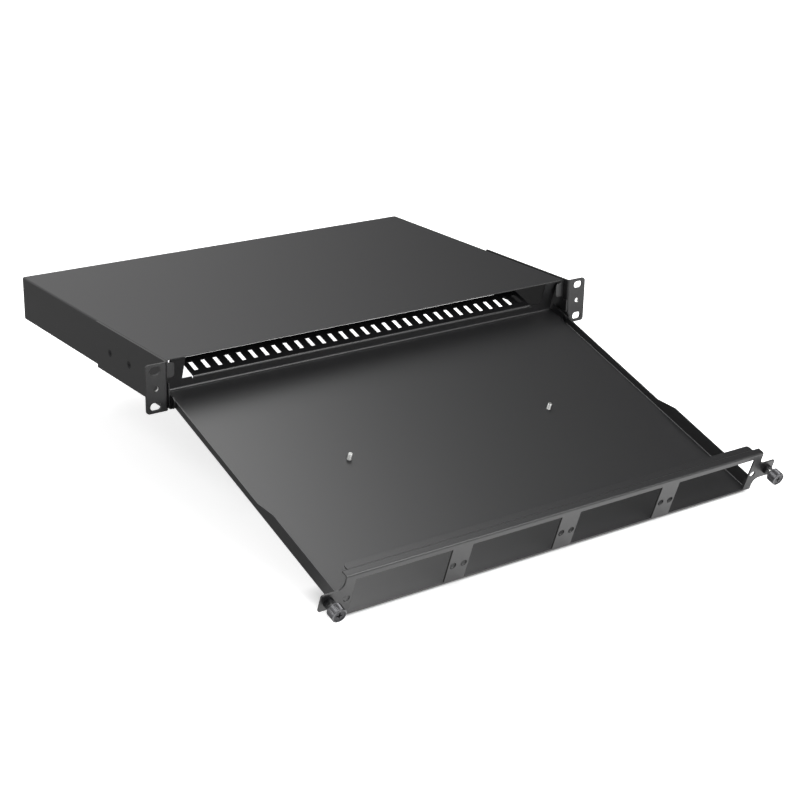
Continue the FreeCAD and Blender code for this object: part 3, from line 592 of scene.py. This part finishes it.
# Studio: a white floor that keeps the drawer's soft shadow, a white room, and three soft lamps,
# overhead, in front and on the left. The camera stands where the photograph's did, by a fit of
# the rack face and the sheets' straight edges.
VIEW_AZIMUTH = math.radians(-36.01)
VIEW_ELEVATION = math.radians(20.73)
VIEW_ROLL = math.radians(1.18)
VIEW_TARGET = (-0.0754, -0.1315, 0.0)
VIEW_DISTANCE = 1.4519
FOCAL_LENGTH = 78.93
WHITE = (1, 1, 1, 1)
FLOOR_COLOUR = "#f4f4f4"
FLOOR_SIDE = 6.0
FLOOR_GAP = 2.0e-3
FLOOR_CONTACT_DISTANCE = 0.02
FLOOR_SEEN_LIFT = 0.76
# Painted light on the floor: a glow that reflections see, and a colour that falls as painted
# shade behind the bezel.
FLOOR_PAINTED_GLOW = 0.95
FLOOR_PAINTED_SHADE = {"From Min": -0.31, "From Max": -0.17, "To Min": 0.95, "To Max": 0.17}
ROOM_FALL = {"From Min": 0.34, "From Max": 0.64, "To Min": 0.8, "To Max": 0.05}
ROOM_LIGHT = 0.35


def smooth_fall(tree, place, limits):
    """A smooth step from one level to another along a coordinate, within the given limits."""
    return add_node(
        tree,
        "ShaderNodeMapRange",
        settings={"interpolation_type": "SMOOTHSTEP"},
        inputs=limits,
        links={"Value": place},
    ).outputs["Result"]


def times(tree, value, factor):
    """A value times a constant."""
    return add_node(
        tree,
        "ShaderNodeMath",
        settings={"operation": "MULTIPLY"},
        inputs={1: factor},
        links={0: value},
    ).outputs["Value"]


def white_floor(height):
    """A level square of matt card under the drawer. The camera sees it white, lifted except
    close under the drawer, so that only the contact shadow shows. For the other rays its colour
    holds painted shade, falling from white before the bezel to grey beside and behind it as if
    lit from the front, and reflections see it glow with that painted light."""
    half = FLOOR_SIDE / 2
    corners = np.array([(-half, -half), (half, -half), (half, half), (-half, half)])
    points = np.column_stack([corners, np.full(4, height)])
    mesh = bpy.data.meshes.new("floor")
    mesh.from_pydata(points.tolist(), [], [(0, 1, 2, 3)])
    material, tree = new_material("matt white card with painted shade")
    place = add_node(tree, "ShaderNodeTexCoord")
    parts = add_node(
        tree, "ShaderNodeSeparateXYZ", links={"Vector": place.outputs["Object"]}
    )
    # Painted shade: the card's colour falls from white in front to grey behind, and it glows
    # with it in reflections.
    painted_shade_level = smooth_fall(tree, parts.outputs["Y"], FLOOR_PAINTED_SHADE)
    ray = add_node(tree, "ShaderNodeLightPath")
    painted_light_card = add_node(
        tree,
        "ShaderNodeBsdfPrincipled",
        inputs={"Roughness": 1.0, "Specular IOR Level": 0.0},
        links={
            "Base Color": painted_shade_level,
            "Emission Color": painted_shade_level,
            "Emission Strength": times(tree, ray.outputs["Is Glossy Ray"], FLOOR_PAINTED_GLOW),
        },
    )
    card = add_node(
        tree, "ShaderNodeBsdfDiffuse", inputs={"Color": linear(FLOOR_COLOUR)}
    )
    open_sky = add_node(
        tree, "ShaderNodeAmbientOcclusion", inputs={"Distance": FLOOR_CONTACT_DISTANCE}
    )
    lift = add_node(
        tree,
        "ShaderNodeEmission",
        inputs={"Color": WHITE},
        links={"Strength": times(tree, open_sky.outputs["AO"], FLOOR_SEEN_LIFT)},
    )
    lifted = add_node(
        tree,
        "ShaderNodeAddShader",
        links={0: card.outputs["BSDF"], 1: lift.outputs["Emission"]},
    )
    both = add_node(
        tree,
        "ShaderNodeMixShader",
        links={
            "Fac": ray.outputs["Is Camera Ray"],
            1: painted_light_card.outputs["BSDF"],
            2: lifted.outputs["Shader"],
        },
    )
    add_node(tree, "ShaderNodeOutputMaterial", links={"Surface": both.outputs["Shader"]})
    mesh.materials.append(material)
    add_object("floor", mesh)


def white_room():
    """White to the camera and plain light on the drawer; reflections see it brighter on the
    left than on the right, as the photograph's studio is."""
    world = bpy.data.worlds.new("white room")
    bpy.context.scene.world = world
    world.use_nodes = True
    tree = world.node_tree
    tree.nodes.clear()
    ray = add_node(tree, "ShaderNodeLightPath")
    way = add_node(tree, "ShaderNodeTexCoord")
    parts = add_node(
        tree, "ShaderNodeSeparateXYZ", links={"Vector": way.outputs["Generated"]}
    )
    plain = add_node(
        tree, "ShaderNodeBackground", inputs={"Color": WHITE, "Strength": ROOM_LIGHT}
    )
    reflected = add_node(
        tree,
        "ShaderNodeBackground",
        inputs={"Color": WHITE},
        links={"Strength": smooth_fall(tree, parts.outputs["X"], ROOM_FALL)},
    )
    seen = add_node(
        tree, "ShaderNodeBackground", inputs={"Color": WHITE, "Strength": 1.0}
    )
    unseen = add_node(
        tree,
        "ShaderNodeMixShader",
        links={
            "Fac": ray.outputs["Is Glossy Ray"],
            1: plain.outputs["Background"],
            2: reflected.outputs["Background"],
        },
    )
    both = add_node(
        tree,
        "ShaderNodeMixShader",
        links={
            "Fac": ray.outputs["Is Camera Ray"],
            1: unseen.outputs["Shader"],
            2: seen.outputs["Background"],
        },
    )
    add_node(tree, "ShaderNodeOutputWorld", links={"Surface": both.outputs["Shader"]})


def soft_lamp(name, place, aim, wide, tall, power):
    """A rectangular area lamp that faces a point, seen in reflections and not by the camera."""
    data = bpy.data.lights.new(name, "AREA")
    data.shape = "RECTANGLE"
    data.size = wide
    data.size_y = tall
    data.energy = power
    lamp = add_object(name, data)
    turn = (Vector(aim) - Vector(place)).to_track_quat("-Z", "Y").to_matrix().to_4x4()
    lamp.matrix_world = Matrix.Translation(place) @ turn
    lamp.visible_camera = False


def photograph_camera():
    """A camera that looks along the view's azimuth, elevation and roll at its target."""
    forward = Vector(
        (
            -math.sin(VIEW_AZIMUTH) * math.cos(VIEW_ELEVATION),
            math.cos(VIEW_AZIMUTH) * math.cos(VIEW_ELEVATION),
            -math.sin(VIEW_ELEVATION),
        )
    )
    level = Vector((math.cos(VIEW_AZIMUTH), math.sin(VIEW_AZIMUTH), 0.0))
    upright = level.cross(forward)
    right = level * math.cos(VIEW_ROLL) + upright * math.sin(VIEW_ROLL)
    above = upright * math.cos(VIEW_ROLL) - level * math.sin(VIEW_ROLL)
    data = bpy.data.cameras.new("photograph")
    data.lens = FOCAL_LENGTH
    data.sensor_width = 36.0
    data.clip_end = 50.0
    camera = add_object("photograph", data)
    place = Vector(VIEW_TARGET) - forward * VIEW_DISTANCE
    turn = Matrix((right, above, -forward)).transposed().to_4x4()
    camera.matrix_world = Matrix.Translation(place) @ turn
    bpy.context.scene.camera = camera


white_floor(cad_low.z - FLOOR_GAP)
white_room()
soft_lamp(
    "overhead",
    place=(0.2, 0.32, 1.2),
    aim=(0.2, 0.3201, 0.0),
    wide=0.8,
    tall=1.36,
    power=12.2,
)
soft_lamp(
    "front", place=(0.7, -1.6, 1.3), aim=(0.0, -0.1, 0.0), wide=1.1, tall=1.1, power=33.0
)
soft_lamp(
    "left", place=(-1.3, 0.65, 1.45), aim=(0.1, -0.1, 0.0), wide=0.5, tall=0.5, power=4.5
)
photograph_camera()
bpy.context.scene.view_settings.view_transform = "Standard"
